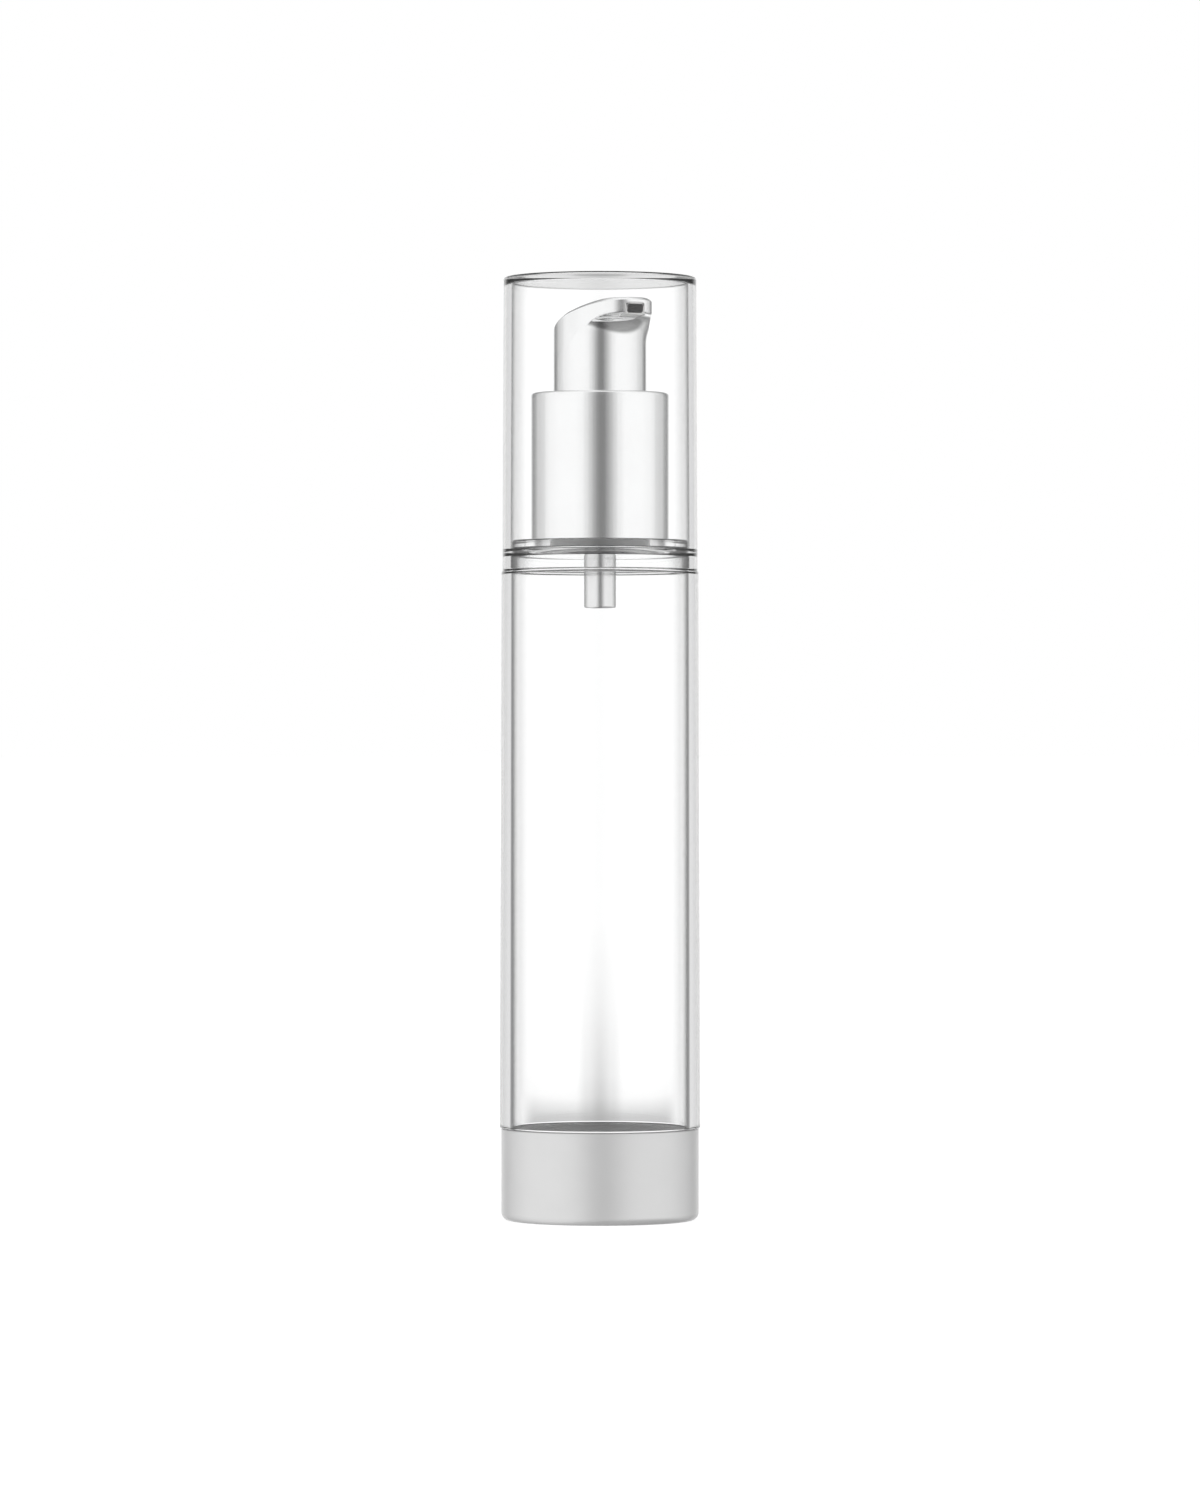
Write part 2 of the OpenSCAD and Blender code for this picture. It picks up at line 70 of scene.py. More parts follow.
lens = bpy.data.cameras.new("studio_lens")
lens.sensor_width = SENSOR_WIDTH
lens.lens = FOCAL_LENGTH
lens.clip_start = 0.01
lens.clip_end = 200
camera = bpy.data.objects.new("studio_camera", lens)
camera.location = to_camera * CAMERA_DISTANCE + Vector((0, 0, CAMERA_HEIGHT))
camera.rotation_euler = (math.pi / 2, 0, CAMERA_TURN)
bpy.context.scene.collection.objects.link(camera)
bpy.context.scene.camera = camera
bpy.context.scene.view_settings.view_transform = "Standard"
print("camera at", [round(x, 3) for x in camera.location])

# %% [markdown]
# ## Shader nodes as plain Python
# A finish is easiest to read as an expression, so one small class holds a socket and
# turns `+`, `-`, `*`, `/`, `<` and `>` into Math nodes. Any other node comes from
# `Recipe.add`, which takes its type, its settings and the values or links of its sockets.

# %% Wires and recipes
class Wire:
    """An output socket that takes part in plain arithmetic."""

    def __init__(self, recipe, socket):
        self.recipe = recipe
        self.socket = socket

    def maths(self, operation, *values):
        return self.recipe.add("ShaderNodeMath", {"operation": operation}, dict(enumerate(values)))

    def __add__(self, other):
        return self.maths("ADD", self, other)

    def __radd__(self, other):
        return self.maths("ADD", other, self)

    def __sub__(self, other):
        return self.maths("SUBTRACT", self, other)

    def __rsub__(self, other):
        return self.maths("SUBTRACT", other, self)

    def __mul__(self, other):
        return self.maths("MULTIPLY", self, other)

    def __rmul__(self, other):
        return self.maths("MULTIPLY", other, self)

    def __truediv__(self, other):
        return self.maths("DIVIDE", self, other)

    def __rtruediv__(self, other):
        return self.maths("DIVIDE", other, self)

    def __lt__(self, other):
        return self.maths("LESS_THAN", self, other)

    def __gt__(self, other):
        return self.maths("GREATER_THAN", self, other)


class Recipe:
    """The node tree of a finish or of the room, started from nothing."""

    def __init__(self, tree):
        self.tree = tree
        tree.nodes.clear()

    def add(self, kind, settings=None, sockets=None, out=0):
        node = self.tree.nodes.new(kind)
        for name, value in (settings or {}).items():
            setattr(node, name, value)
        for name, value in (sockets or {}).items():
            if isinstance(value, Wire):
                self.tree.links.new(value.socket, node.inputs[name])
            else:
                node.inputs[name].default_value = value
        return Wire(self, node.outputs[out])

    def dot(self, vector, axis):
        """How far a vector reaches along an axis."""
        settings = {"operation": "DOT_PRODUCT"}
        return self.add("ShaderNodeVectorMath", settings, {0: vector, 1: axis}, out=1)

    def ramp(self, factor, stops, interpolation="LINEAR"):
        """Grey levels along a factor: stops are pairs of place and level."""
        wire = self.add("ShaderNodeValToRGB", sockets={"Fac": factor})
        band = wire.socket.node.color_ramp
        band.interpolation = interpolation
        while len(band.elements) < len(stops):
            band.elements.new(1)
        for element, (place, level) in zip(band.elements, sorted(stops)):
            element.position = place
            element.color = (level, level, level, 1)
        return wire

    def output(self, kind, shader):
        end = self.tree.nodes.new(kind)
        self.tree.links.new(shader.socket, end.inputs["Surface"])


print("wires and recipes are ready")

# %% [markdown]
# ## The room
# Bright metal and clear walls show nothing but the room, so the room is designed first.
# Read off the collar, it has a dark gap where the camera stands, a white screen on each
# side, a dark corner all round the white backdrop, and a dark floor that is nearer on the
# right. It could be built from cards and lamps. Here it is one soft world that depends
# only on the direction in the room, which renders without noise.

# %% Directions in the room
world = bpy.data.worlds.new("soft_studio")
world.use_nodes = True
world.cycles.sampling_method = "NONE"
bpy.context.scene.world = world
room = Recipe(world.node_tree)
direction = room.add("ShaderNodeTexCoord")


def along(axis):
    """How far a direction points along an axis, from -1 to 1."""
    return room.dot(direction, axis)


def by_degrees(angle, stops):
    """Levels by an angle in radians, from stops in degrees between -180 and 180."""
    places = [(place / 360 + 0.5, level) for place, level in stops]
    return room.ramp(angle / (2 * math.pi) + 0.5, places, "EASE")


level_turn = along(to_right).maths("ARCTAN2", along(to_right), along(to_camera))
off_backdrop = along(to_camera).maths("ARCCOSINE", along(-to_camera))
up = along((0, 0, 1))
print("directions are ready")

# %% Screens, corners and floor
FRONT = [
    (-42, 1.0), (-30, 0.96), (-22, 0.8), (-15, 0.6), (-9, 0.4), (-4, 0.27), (1, 0.21),
    (7, 0.22), (12, 0.34), (18, 0.5), (24, 0.68), (31, 0.88), (42, 1.0),
]
CORNER = [
    (0, 1.0), (20, 0.97), (27, 0.75), (33, 0.3), (40, 0.2), (46, 0.28), (60, 0.57),
    (75, 0.72), (83, 0.88), (92, 0.95), (110, 0.98),
]
FLOOR_AT = Vector((0, 0, -1)) + 0.1 * to_camera + 0.4 * to_right
FLOOR_LEVEL = 0.28
ROOM_GAIN = 1.06
GAP_HEIGHT = [(0, 1), (0.75, 1), (0.92, 0)]
FLOOR_SHARE = [(0.64, 0), (0.82, 1)]

gap_height = room.ramp(up * 0.5 + 0.5, GAP_HEIGHT)
front = 1 - (1 - by_degrees(level_turn, FRONT)) * gap_height
floor_share = room.ramp(along(FLOOR_AT.normalized()), FLOOR_SHARE, "EASE")
screens = front * by_degrees(off_backdrop, CORNER) * (1 - (1 - FLOOR_LEVEL) * floor_share)
print("room has", len(FRONT), "stops in front and", len(CORNER), "round the backdrop")

# %% [markdown]
# ## What each kind of light finds
# The camera sees plain white behind the bottle, and so does light that goes straight
# through clear plastic. Low on the backdrop, where the floor begins, that white turns a
# little grey, with a stripe in its middle: a painted shadow of the bottle on the floor
# behind it, which only light going straight through clear plastic finds. Light that turns
# round inside a clear wall looks out sideways, past the backdrop's edge, and finds the
# white screens. Matt surfaces gather the whole room, so their light is raised to the level
# at which a colour looks as written.

# %% World by light path
BACKDROP = 1.1
MATT_GAIN = 1.42
WALL = [
    (0, 0.42), (8, 0.48), (14, 0.7), (22, 0.75), (39, 0.76), (43, 0.25), (50, 0.22), (62, 0.5),
    (80, 0.85), (100, 0.9),
]
# Levels of the painted shadow of the bottle, low on the backdrop, and of its stripe
FLOOR_SHADOW_LEVELS = [(0, 0), (0.3, 0.3), (0.42, 0.5), (0.438, 0.42), (0.466, 0.1), (0.5, 0.03), (0.6, 0)]
FLOOR_SHADOW_STRIPE = [
    (0, 0), (0.3, 0.1), (0.435, 0.13), (0.464, 0.28), (0.5, 0.24), (0.54, 0.19), (0.61, 0.1),
    (0.72, 0),
]
SHADOW_WIDTH = [(0, 1), (8, 1), (15, 0)]
STRIPE_WIDTH = [(0, 1), (0.28, 0.55), (0.6, 0)]
SHADOW_ZOOM = 10
STRIPE_ZOOM = 20

path = room.add("ShaderNodeLightPath").socket.node.outputs
glossy = Wire(room, path["Glossy Depth"])
matt = Wire(room, path["Diffuse Depth"])
through = Wire(room, path["Transmission Depth"])
in_wall = (glossy > 0.5) * (glossy < 1.5) * (through > 1.5) * (through < 2.5)
light = screens + in_wall * (by_degrees(off_backdrop, WALL) - screens)
light = light * (1 + (matt > 0.5) * (MATT_GAIN - 1)) * ROOM_GAIN

low = up * SHADOW_ZOOM + 1
middle = room.ramp(up.maths("ABSOLUTE", along(to_right)) * STRIPE_ZOOM, STRIPE_WIDTH, "EASE")
behind = by_degrees(off_backdrop, SHADOW_WIDTH)
# Painted shadow of the bottle on the floor behind it, grey with a darker stripe in its middle
painted_floor_shadow = behind * (room.ramp(low, FLOOR_SHADOW_LEVELS) + middle * room.ramp(low, FLOOR_SHADOW_STRIPE))
seen_through = Wire(room, path["Is Transmission Ray"])
backdrop = 1 + seen_through * (BACKDROP * (1 - painted_floor_shadow) - 1)
lit = room.add(
    "ShaderNodeMix",
    {"data_type": "RGBA"},
    {0: glossy + matt < 0.5, 6: light, 7: backdrop},
    out=2,
)
room.output("ShaderNodeOutputWorld", room.add("ShaderNodeBackground", sockets={"Color": lit}))
print("world has", len(world.node_tree.nodes), "nodes")

# %% [markdown]
# ## The floor
# The bottle stands on a seamless white floor. It gives off most of its white itself and
# scatters the rest from the room, so it stays white in the open and still keeps a faint
# shadow under the base. Only the camera sees it: the room's lower half already stands for
# the light that a floor sends back.

# %% Floor
FLOOR_SIZE = 60
FLOOR_SCATTER = 0.3
FLOOR_GLOW = 0.8

bm = bmesh.new()
bmesh.ops.create_grid(bm, x_segments=1, y_segments=1, size=FLOOR_SIZE)
floor_mesh = bpy.data.meshes.new("studio_floor")
bm.to_mesh(floor_mesh)
bm.free()
floor = bpy.data.objects.new("studio_floor", floor_mesh)
bpy.context.scene.collection.objects.link(floor)

floor_paint = bpy.data.materials.new("floor_white")
floor_paint.use_nodes = True
white = Recipe(floor_paint.node_tree)
scatter = white.add("ShaderNodeBsdfDiffuse", sockets={"Color": (*[FLOOR_SCATTER] * 3, 1)})
glow = white.add("ShaderNodeEmission", sockets={"Strength": FLOOR_GLOW})
seen = Wire(white, white.add("ShaderNodeLightPath").socket.node.outputs["Is Camera Ray"])
surface = white.add(
    "ShaderNodeMixShader",
    sockets={
        0: seen,
        1: white.add("ShaderNodeBsdfTransparent"),
        2: white.add("ShaderNodeAddShader", sockets={0: scatter, 1: glow}),
    },
)
white.output("ShaderNodeOutputMaterial", surface)
floor_mesh.materials.append(floor_paint)
print("floor is", floor.dimensions.x, "m wide")

# %% [markdown]
# ## Turned pieces
# Nearly every piece of the bottle comes from a round mould, so it is modelled as a lathe
# would cut it: half of its section is drawn as a flat face, the corners are rounded with
# a vertex bevel, and the outline is spun round the axis. A subdivided cylinder would need
# support loops at every step, while a section states each radius and height once. A long
# straight wall gets one extra ring close to each end. Without it the smooth shading of the
# rounded rim would spread over the whole wall, and a clear wall would bend light wrongly.

# %% Lathe
STEPS = 320
MERGE = 1e-6
SHARP = math.radians(32)
LONG_EDGE = 0.5
BRACE = 0.06


def arc(centre, radius, start, end, count=9):
    """Points on a circle in a section or a plan, from one angle to another in degrees."""
    turns = [math.radians(start + (end - start) * k / count) for k in range(count + 1)]
    return [(centre[0] + radius * math.cos(t), centre[1] + radius * math.sin(t)) for t in turns]


def piece(name, bm):
    """Closes a bmesh into an object with smooth faces and sharp edges by angle."""
    bmesh.ops.remove_doubles(bm, verts=bm.verts, dist=MERGE)
    bmesh.ops.recalc_face_normals(bm, faces=bm.faces)
    for face in bm.faces:
        face.smooth = True
    mesh = bpy.data.meshes.new(name)
    bm.to_mesh(mesh)
    bm.free()
    mesh.set_sharp_from_angle(angle=SHARP)
    made = bpy.data.objects.new(name, mesh)
    bpy.context.scene.collection.objects.link(made)
    return made


def section(corners):
    """A flat face in the section plane; a third number rounds a corner, all in mm."""
    bm = bmesh.new()
    points = [bm.verts.new((c[0] * MM, 0, c[1] * MM)) for c in corners]
    bm.faces.new(points)
    rounds = [c[2] if len(c) > 2 else 0 for c in corners]
    for size in sorted(set(rounds) - {0}):
        bmesh.ops.bevel(
            bm,
            geom=[point for point, r in zip(points, rounds) if r == size],
            offset=size * MM,
            offset_type="OFFSET",
            segments=max(3, round(size * 8)),
            profile=0.5,
            affect="VERTICES",
            material=-1,
        )
    return bm


def brace(bm):
    """Splits long edges close to their ends, so that a round's shading stops there."""
    for edge in [e for e in bm.edges if e.calc_length() > LONG_EDGE * MM]:
        for end in edge.verts[:]:
            bmesh.utils.edge_split(edge, end, BRACE * MM / edge.calc_length())


def lathe(bm):
    """Braces the section and spins its outline, less what lies on the axis."""
    brace(bm)
    bmesh.ops.delete(bm, geom=bm.faces[:], context="FACES_ONLY")
    on_axis = [e for e in bm.edges if all(v.co.x < 1e-7 for v in e.verts)]
    bmesh.ops.delete(bm, geom=on_axis, context="EDGES")
    bmesh.ops.spin(
        bm,
        geom=bm.verts[:] + bm.edges[:],
        cent=(0, 0, 0),
        axis=(0, 0, 1),
        dvec=(0, 0, 0),
        angle=2 * math.pi,
        steps=STEPS,
        use_merge=True,
        use_normal_flip=False,
        use_duplicate=False,
    )
    return bm


def turned(name, corners, body, node):
    """A turned piece that stands for a CAD node and rides on its body."""
    made = piece(name, lathe(section(corners)))
    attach(made, body)
    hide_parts(node)
    print(name, "has", len(made.data.polygons), "faces")
    return made


# %% [markdown]
# ## The bottle
# One moulding in clear copolyester: a thick straight wall, a shoulder, the overcap's seat
# with its snap groove, a thin deck and the neck. Both of its surfaces are modelled,
# because light bends at each of them, and the dark and bright bands at the wall's edges
# come from that, darkened further by the clear finish's painted edge shade.

# %% Bottle
BORE = 14.6
SEAT = 14.9
LAND = 14.68
DECK_Z = 113.5
SHOULDER_Z = 108.5
BASE_H = 15.4
SNAP_Z = 111.4
CAP_BORE = 14.96
SNAP_DEPTH = 0.24
BEAD_R = 0.9
GROOVE_R = 1.05

groove = arc((CAP_BORE - SNAP_DEPTH + BEAD_R, SNAP_Z), GROOVE_R, 227, 154)
bottle = turned(
    "clear_bottle",
    [
        (BORE, 1.8), (15.35, 1.8), (15.35, 11.4), (15.1, 11.4), (15.1, 12.6),
        (15.35, 12.6), (15.35, BASE_H), (16.78, BASE_H, 0.2), (16.46, SHOULDER_Z, 0.4),
        (SEAT, SHOULDER_Z), *groove, (LAND, DECK_Z, 0.4), (9.4, DECK_Z), (9.4, 118.6),
        (9.8, 118.6), (9.8, 119.2), (9.4, 119.8), (9.4, 121), (8.4, 121), (8.4, 112.3),
        (14.04, 112.3, 1.5), (14.04, 108, 0.15), (BORE, 108, 0.1),
    ],
    "bottle", "bottle",
)

# %% [markdown]
# ## The overcap
# A clear cup that the mould leaves a little narrower at its top. Its snap bead is a soft
# ring inside the rim, which springs into the bottle's groove.

# %% Overcap
CAP_OUT = 16.32
CAP_TOP_Z = 157.5
CAP_IN_Z = 156.4
DRAFT = 0.22

bead = arc((CAP_BORE - SNAP_DEPTH + BEAD_R, SNAP_Z), BEAD_R, 137.2, 222.8)
overcap = turned(
    "clear_overcap",
    [
        (CAP_BORE, SHOULDER_Z, 0.15), (CAP_OUT, SHOULDER_Z, 0.2),
        (CAP_OUT - DRAFT, CAP_TOP_Z, 0.5), (0, CAP_TOP_Z), (0, CAP_IN_Z),
        (CAP_BORE - DRAFT, CAP_IN_Z, 0.3), (CAP_BORE, DECK_Z), *bead,
    ],
    "overcap", "overcap",
)

# %% [markdown]
# ## The collar
# A thin sheath of bright metal over the neck, with a rolled upper edge. Its hole leaves a
# hair of room for the actuator to slide.

# %% Collar
COLLAR_R = 11.6
COLLAR_BORE = 10.8
COLLAR_TOP_Z = 138.1
COLLAR_HOLE = 8.09

collar = turned(
    "metal_collar",
    [
        (COLLAR_BORE, DECK_Z), (COLLAR_R, DECK_Z, 0.1), (COLLAR_R, COLLAR_TOP_Z, 0.5),
        (COLLAR_HOLE, COLLAR_TOP_Z, 0.25), (COLLAR_HOLE, 137.3), (COLLAR_BORE, 137.3),
    ],
    "bottle", "collar",
)

# %% [markdown]
# ## The base cap
# A light grey cup with a satin lacquer, snapped over the bottle's lower end. A foot ring
# keeps the cup's floor off the table, and a hole lets air in under the follower piston.

# %% Base cap
VENT_R = 3
BASE_R = 16.5
BASE_BORE = 15.4

base_cap = turned(
    "satin_base_cap",
    [
        (VENT_R, 0.6, 0.2), (13.2, 0.6, 0.3), (13.2, 0, 0.4), (BASE_R, 0, 1.3),
        (BASE_R, BASE_H, 0.3), (BASE_BORE, BASE_H, 0.1), (BASE_BORE, 12.55), (15.15, 12.2),
        (15.15, 11.8), (BASE_BORE, 11.45), (BASE_BORE, 1.8), (VENT_R, 1.8, 0.2),
    ],
    "bottle", "base_cap",
)

# %% [markdown]
# ## The follower piston
# A soft piston that the air under it pushes up as the bottle empties. Its two feathered
# lips seal in the bore, and a well in its middle takes the inlet tube at the end of the
# travel.

# %% Follower piston
follower = turned(
    "soft_follower",
    [
        (0, 8.86), (3.4, 8.86, 0.4), (3.4, 14.2, 0.5), (12.56, 14.2, 0.4),
        (14.06, 15.2, 0.15), (14.56, 15.2, 0.12), (14.56, 14.2), (13.96, 13.2),
        (13.96, 4.1), (14.56, 3.1), (14.56, 2.1), (13.56, 2.1), (12.96, 4.1),
        (12.96, 13.1, 0.3), (4.3, 13.1, 0.3), (4.3, 7.96, 0.5), (0, 7.96),
    ],
    "follower", "follower_piston",
)

# %% [markdown]
# ## The neck
# Through the clear deck one sees the soft plug that seals the neck, and the foot of the
# pump's housing with its inlet tube. The white fixing ring round them holds the pump down
# on the neck's bead.

# %% Plug, housing and fixing ring
BARREL_FOOT_Z = 111.76

neck_plug = turned(
    "soft_plug",
    [
        (7.4, BARREL_FOOT_Z, 0.2), (8.35, BARREL_FOOT_Z, 0.35), (8.35, 121),
        (9.2, 121, 0.1), (9.2, 121.6, 0.1), (7.4, 121.6),
    ],
    "bottle", "neck_plug",
)
housing = turned(
    "barrel_housing",
    [
        (1.6, 102.16, 0.15), (2.7, 102.16, 0.3), (2.7, BARREL_FOOT_Z, 0.3),
        (4.3, BARREL_FOOT_Z, 0.4), (4.3, 121.6), (9.2, 121.6), (9.2, 122.8),
        (4.3, 122.8), (4.3, 128.1), (3.5, 128.1, 0.2), (3.5, 113.36), (1.1, 113.36),
        (1.1, BARREL_FOOT_Z), (1.6, BARREL_FOOT_Z),
    ],
    "bottle", "pump_housing",
)
fixing_ring = turned(
    "white_fixing_ring",
    [
        (9.45, 114.5, 0.15), (10.75, 114.5, 0.3), (10.75, 124, 0.3), (5.5, 124, 0.2),
        (5.5, 122.8), (9.85, 122.8), (9.85, 118.55), (9.45, 118.55),
    ],
    "bottle", "fixing_ring",
)

# %% [markdown]
# ## The return spring
# A steel coil between the stem guide and the disc of the inner moulding pushes the plunger
# back up. A small circle, spun several turns while it climbs, is the whole coil. It rides
# down with the plunger.

# %% Return spring
SPRING_R = 3.7
WIRE = 0.8
SPRING_FOOT_Z = 129.3
SPRING_TOP_Z = 140.6
TURNS = 5
SPIN_STEPS = 36 * TURNS
WIRE_SIDES = 12

bm = bmesh.new()
bmesh.ops.create_circle(bm, segments=WIRE_SIDES, radius=WIRE / 2 * MM)
place = Matrix.Translation((SPRING_R * MM, 0, (SPRING_FOOT_Z + WIRE / 2) * MM))
bmesh.ops.transform(bm, matrix=place @ Matrix.Rotation(math.pi / 2, 4, "X"), verts=bm.verts)
climb = (SPRING_TOP_Z - SPRING_FOOT_Z - WIRE) * MM / SPIN_STEPS
bmesh.ops.spin(
    bm, geom=bm.edges[:], cent=(0, 0, 0), axis=(0, 0, 1), dvec=(0, 0, climb),
    angle=2 * math.pi * TURNS, steps=SPIN_STEPS,
)
bmesh.ops.holes_fill(bm, edges=[e for e in bm.edges if e.is_boundary], sides=0)
spring = piece("steel_spring", bm)
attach(spring, "plunger")
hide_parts("return_spring")
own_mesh(spring)
print("spring has", len(spring.data.polygons), "faces")

# %% [markdown]
# ## The actuator's head
# Bright plated plastic: a round head with a sloping, crowned top, whose spout grows out
# of it on straight flanks. The plan is a circle for the head and one for the tip, joined
# by their common tangents, and starts as one flat face. Insets that rise a little each
# time round the top's edge. Cuts across the spout then let the flat top bend into the
# crown. The wall, the scoop under the spout and the skirt are one outline, extruded again
# and again and moved to its next place, so the whole shell is a single skin. It is built
# with the spout along +X and turned to the front at the end.

# %% Head's plan and top
HEAD = 7.85
REACH = 12.55
TIP = 5.1
TOP_Z = 153.6
CROWN = 32
CROWN_AT = REACH + 1.3
EDGE = [(12, 0.05), (28, 0.06), (41, 0.28), (45, 0.28), (62, 0.08), (78, 0.06)]
EDGE_H = sum(length * math.cos(math.radians(turn)) for turn, length in EDGE)
LEAN = (HEAD - TIP) / (REACH - TIP)
SCOOP_FOOT_Z = 146.35
SCOOP = [(5.0, 38), (3.2, 78), (40, 84)]
LIP = 0.6
SKIRT_Z = 129.5
CROWN_CUTS = 80
SLIVER = 0.02
FRONT_TURN = -math.pi / 2


def crown_drop(x):
    """How far the crown lies under its highest level, at a place along the spout."""
    return CROWN - math.sqrt(CROWN**2 - (x - CROWN_AT) ** 2)


def straight_line(a, b, count):
    return [
        (a[0] + (b[0] - a[0]) * k / count, a[1] + (b[1] - a[1]) * k / count)
        for k in range(1, count)
    ]


def plan_face(bm, z):
    """The plan of head and spout as one face, outline anticlockwise."""
    lean = math.degrees(math.acos(LEAN))
    back = arc((0, 0), HEAD, lean, 360 - lean, 180)
    tip = arc((REACH - TIP, 0), TIP, -lean, lean, 110)
    outline = (
        back + straight_line(back[-1], tip[0], 24) + tip + straight_line(tip[-1], back[0], 24)
    )
    return bm.faces.new([bm.verts.new((x * MM, y * MM, z * MM)) for x, y in outline])


bm = bmesh.new()
top = plan_face(bm, TOP_Z - EDGE_H)
for turn, length in EDGE:
    bmesh.ops.inset_individual(
        bm,
        faces=[top],
        thickness=length * MM * math.sin(math.radians(turn)),
        depth=length * MM * math.cos(math.radians(turn)),
        use_even_offset=True,
    )
for k in range(1, CROWN_CUTS):
    x = -HEAD + (HEAD + REACH) * k / CROWN_CUTS
    bmesh.ops.bisect_plane(
        bm,
        geom=bm.verts[:] + bm.edges[:] + bm.faces[:],
        dist=2e-6,
        plane_co=(x * MM, 0, 0),
        plane_no=(1, 0, 0),
    )
bmesh.ops.remove_doubles(bm, verts=bm.verts, dist=SLIVER * MM)
for v in bm.verts:
    v.co.z -= crown_drop(v.co.x / MM) * MM
print("head's top has", len(bm.faces), "faces")

# %% Head's wall, scoop and skirt
OUTLET_Z = TOP_Z - 1.97
OUTLET_W = 2.9
OUTLET_H = 1.45
CHIN = math.radians(12)
CHIN_Z = OUTLET_Z + OUTLET_H / 2 + 0.1


def scoop(length):
    """Out from the wall, up from the foot, and the turn, after a length of the scoop.

    The scoop is a run of arcs, each with its radius and the turn in degrees at its end.
    """
    out, up, turn = 0, 0, 0
    for radius, end in SCOOP:
        step = min(length, radius * (math.radians(end) - turn))
        then = turn + step / radius
        out += radius * (math.cos(turn) - math.cos(then))
        up += radius * (math.sin(then) - math.sin(turn))
        turn, length = then, length - step
    return out, up, turn


LENGTHS = [0.01 * k for k in range(1400)]
OUTS = [scoop(length)[0] for length in LENGTHS]


def scoop_length(reach):
    """The length of the scoop from the wall to a distance from the head's axis."""
    return float(np.interp(reach - HEAD, OUTS, LENGTHS))


def plan_normal(x, y):
    """Which way the wall faces at a place on the plan."""
    if x < HEAD * LEAN:
        return Vector((x, y, 0)).normalized()
    if x > REACH - TIP + TIP * LEAN:
        return Vector((x - REACH + TIP, y, 0)).normalized()
    return Vector((LEAN, math.copysign(math.sqrt(1 - LEAN**2), y), 0))


def on_wall(x, y, z):
    """A point of the wall, held back at the tip by the leaning end face."""
    return Vector((min(x, REACH - (CHIN_Z - z) * math.tan(CHIN)), y, z))


def on_scoop(x, y, length):
    """A point of the scoop in the direction of x and y."""
    out, up, _ = scoop(length)
    return Vector((x, y, 0)).normalized() * (HEAD + out) + Vector((0, 0, SCOOP_FOOT_Z + up))


def next_ring(bm, ring, place):
    """Extrudes a closed outline; place(point, start) moves each new point.

    The start is where the point's column of the wall begins, under the crown's edge.
    """
    grown = bmesh.ops.extrude_edge_only(bm, edges=ring)["geom"]
    points = {v for v in grown if isinstance(v, bmesh.types.BMVert)}
    for v in points:
        v.co = place(v.co.copy() / MM, v[bm.verts.layers.float_vector["start"]]) * MM
    return [e for e in grown if isinstance(e, bmesh.types.BMEdge) and points.issuperset(e.verts)]


print("spout's end leans", round(math.degrees(CHIN)), "degrees")

# %% [markdown]
# The spout's lower edge is rolled, not sharp. Without the roll, wall and scoop would meet in
# a corner. From that corner the roll runs up the wall and in along the scoop by the same
# length, which follows from its radius and from how far the two surfaces turn there. On the
# round of the head they don't turn at all, so the roll fades out by itself.

# %% Rolled lip and scoop
LEAST_WALL = 0.6
ON_ROUND = 1e-3


def lip(start):
    """The corner, the roll's ends on the wall and on the scoop."""
    length = scoop_length(math.hypot(start.x, start.y))
    level = min(SCOOP_FOOT_Z + scoop(length)[1], start.z - LEAST_WALL)
    corner = on_wall(start.x, start.y, level)
    if length < ON_ROUND:
        return corner, corner, corner
    length = scoop_length(math.hypot(corner.x, corner.y))
    _, up, turn = scoop(length)
    corner.z = SCOOP_FOOT_Z + up
    radial = Vector((corner.x, corner.y, 0)).normalized()
    fold = math.acos(min(1, plan_normal(start.x, start.y).dot(radial) * math.cos(turn)))
    leg = LIP * math.tan(fold / 2)
    high = on_wall(start.x, start.y, corner.z + leg)
    return corner, high, on_scoop(corner.x, corner.y, max(length - leg, 0))


def rolled(share):
    """A ring of the lip, from 0 on the wall to 1 on the scoop."""

    def place(p, start):
        corner, high, low = lip(start)
        return high * (1 - share) ** 2 + corner * 2 * share * (1 - share) + low * share**2

    return place


def above_lip(raise_by):
    """A ring on the wall, that far over the roll's upper end."""

    def place(p, start):
        high = lip(start)[1]
        return on_wall(start.x, start.y, min(high.z + raise_by, start.z - 0.1))

    return place


def down_scoop(share):
    """Moves a point along the scoop towards the wall, by a share of the way."""

    def place(p, start):
        length = scoop_length(math.hypot(p.x, p.y))
        return p if length < ON_ROUND else on_scoop(p.x, p.y, length * (1 - share))

    return place


def at_radius(radius, z):
    """A round ring at a height."""

    def place(p, start):
        reach = math.hypot(p.x, p.y)
        return Vector((p.x * radius / reach, p.y * radius / reach, z))

    return place


UNDER_CROWN = 0.07
OVER_LIP = (0.6, 0.05)
ROLL_STEPS = 8
SCOOP_STEPS = 18
SKIRT = [
    (HEAD, 143.6), (HEAD, SKIRT_Z + 0.6), (HEAD, SKIRT_Z + 0.15), (HEAD - 0.15, SKIRT_Z),
    (7.15, SKIRT_Z), (7.15, 143),
]

